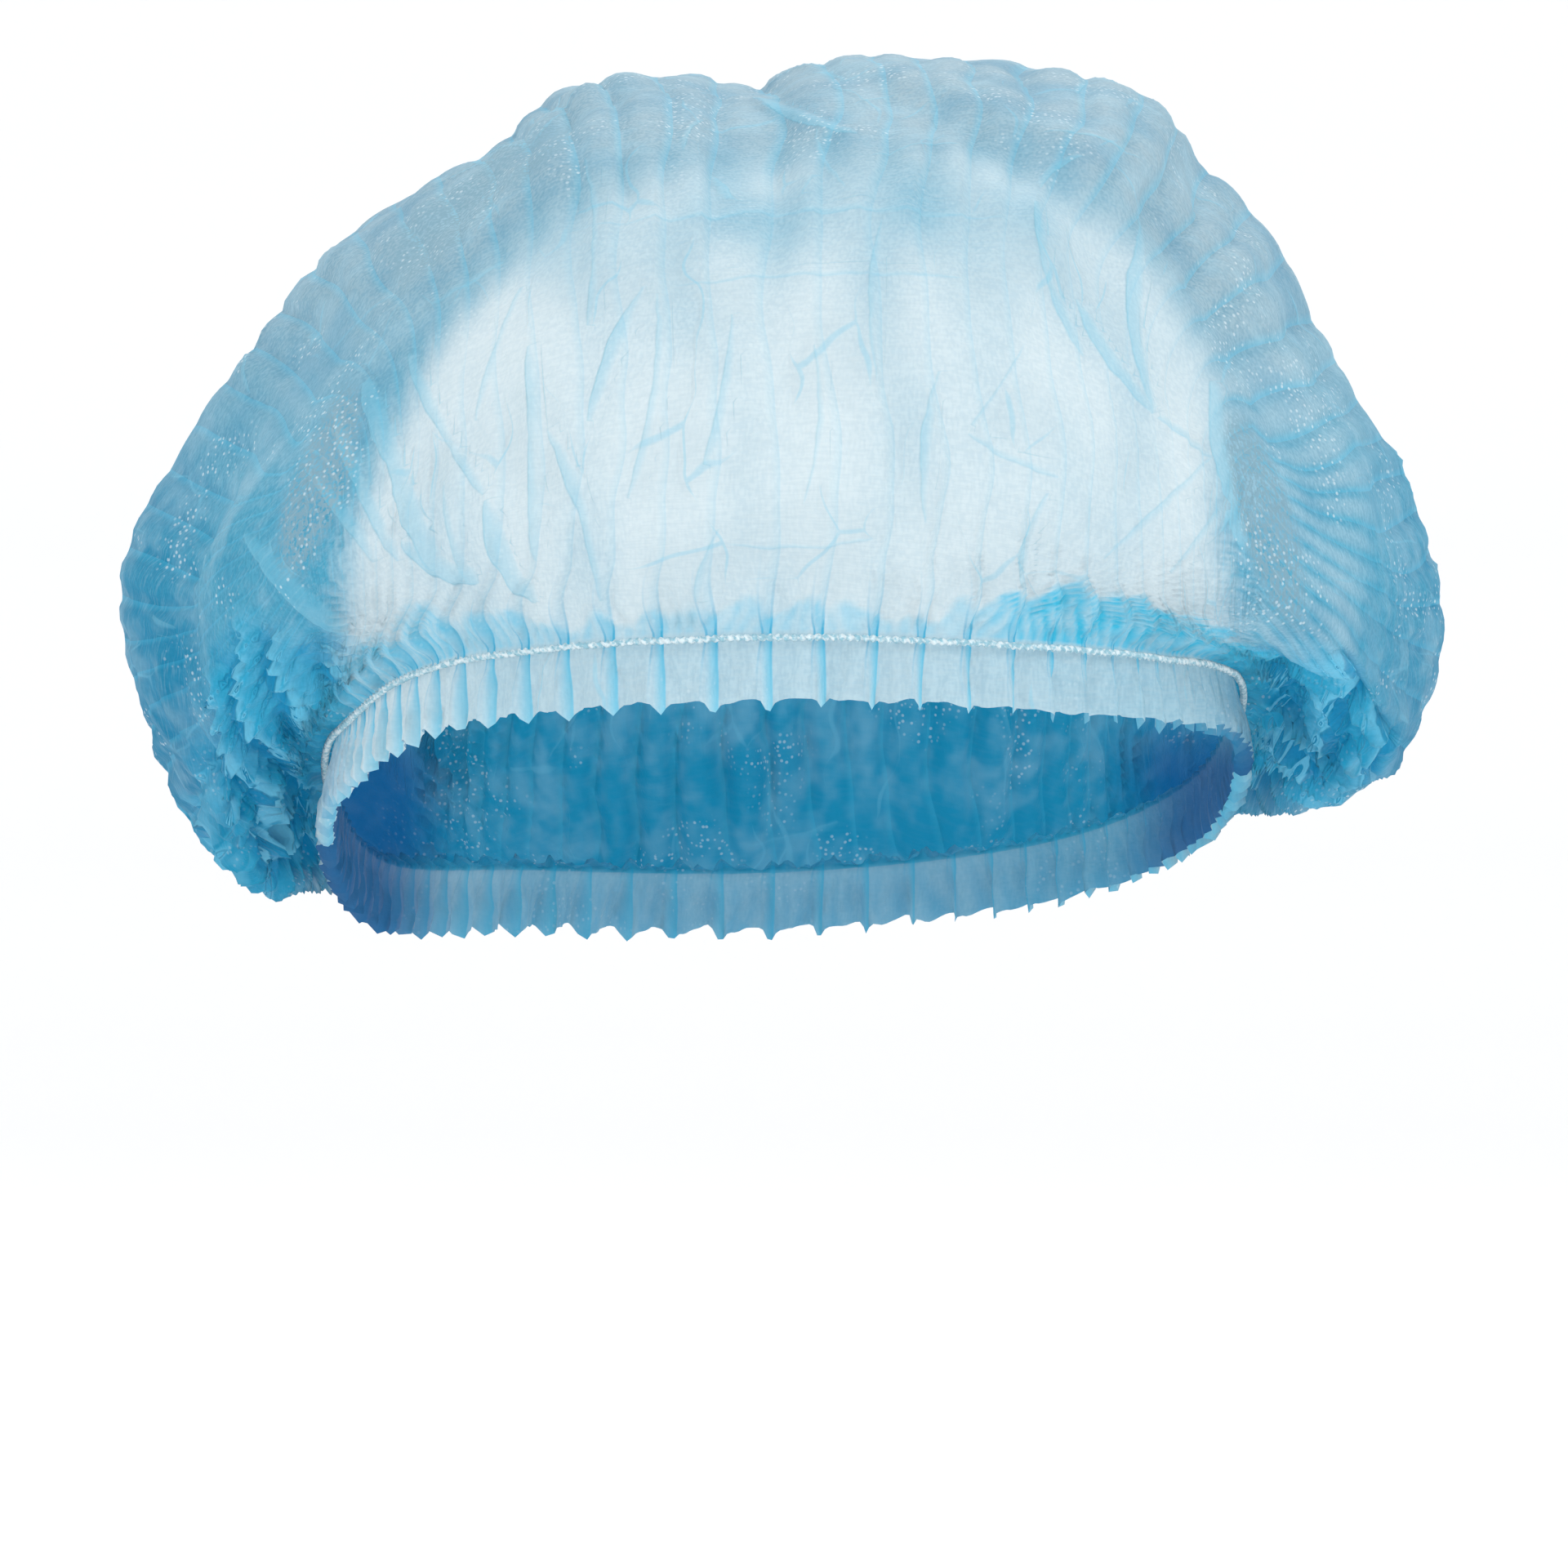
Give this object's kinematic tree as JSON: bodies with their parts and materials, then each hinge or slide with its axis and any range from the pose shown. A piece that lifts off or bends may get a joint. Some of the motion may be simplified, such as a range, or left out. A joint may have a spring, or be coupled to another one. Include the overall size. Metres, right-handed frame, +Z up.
{
  "type": "disposable hairnet",
  "caption": "Puffed bouffant cap of thin pleated nonwoven, gathered by a sewn-on elastic round its opening, with a short pleated frill below it.",
  "frame": {"origin": "middle of the opening that the head goes into, at the level where the wearer's ears pass under the elastic", "axes": "-Y towards the brow, +Y towards the nape, +X towards the wearer's left, +Z up to the crown"},
  "size_m": [0.2431, 0.2571, 0.164],
  "materials": {
    "cap": "thin translucent light blue spunbond nonwoven",
    "elastic": "white thread-covered elastic"
  },
  "bodies": {
    "root": {"cap": "cap", "elastic": "elastic"}
  },
  "joints": []
}
